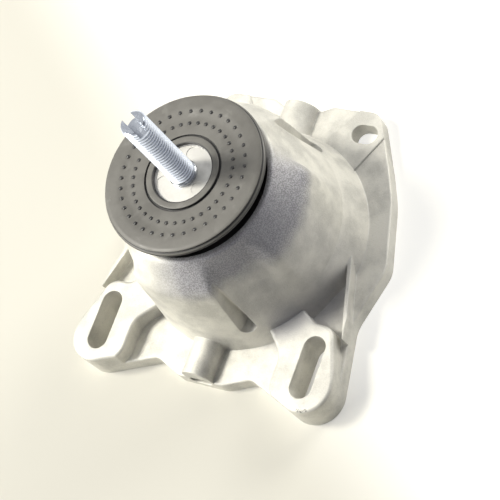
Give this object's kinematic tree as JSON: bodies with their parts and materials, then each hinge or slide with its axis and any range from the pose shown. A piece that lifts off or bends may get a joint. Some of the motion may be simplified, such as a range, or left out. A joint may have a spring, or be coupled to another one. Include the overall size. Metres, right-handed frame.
{
  "type": "engine mount",
  "caption": "Hydraulic engine mount: cast aluminium bell on an eared flange, rubber-coated stop disc over its mouth and a long threaded stud.",
  "frame": {"origin": "on the stud's axis, on the underside of the flange", "axes": "+Z along the stud towards its tip, +Y away from the two slotted ears, +X to the right seen from above with the ears towards the viewer"},
  "size_m": [0.1394, 0.148, 0.1258],
  "materials": {
    "cast_aluminium": "blasted",
    "core_metal": "satin",
    "zinc_steel": "satin",
    "plain_steel": "satin",
    "plate_aluminium": "satin",
    "disc_rubber": "matte",
    "soft_rubber": "matte"
  },
  "bodies": {
    "root": {"housing": "cast_aluminium", "stud": "zinc_steel", "core": "core_metal", "main_spring": "soft_rubber", "spring_ring": "plain_steel", "channel_plate_upper": "plate_aluminium", "channel_plate_lower": "plate_aluminium", "decoupler_membrane": "soft_rubber", "diaphragm": "soft_rubber", "bottom_cup": "plain_steel", "retaining_ring": "plain_steel", "stop_disc_plate": "plain_steel", "stop_disc_rubber": "disc_rubber"}
  },
  "joints": []
}
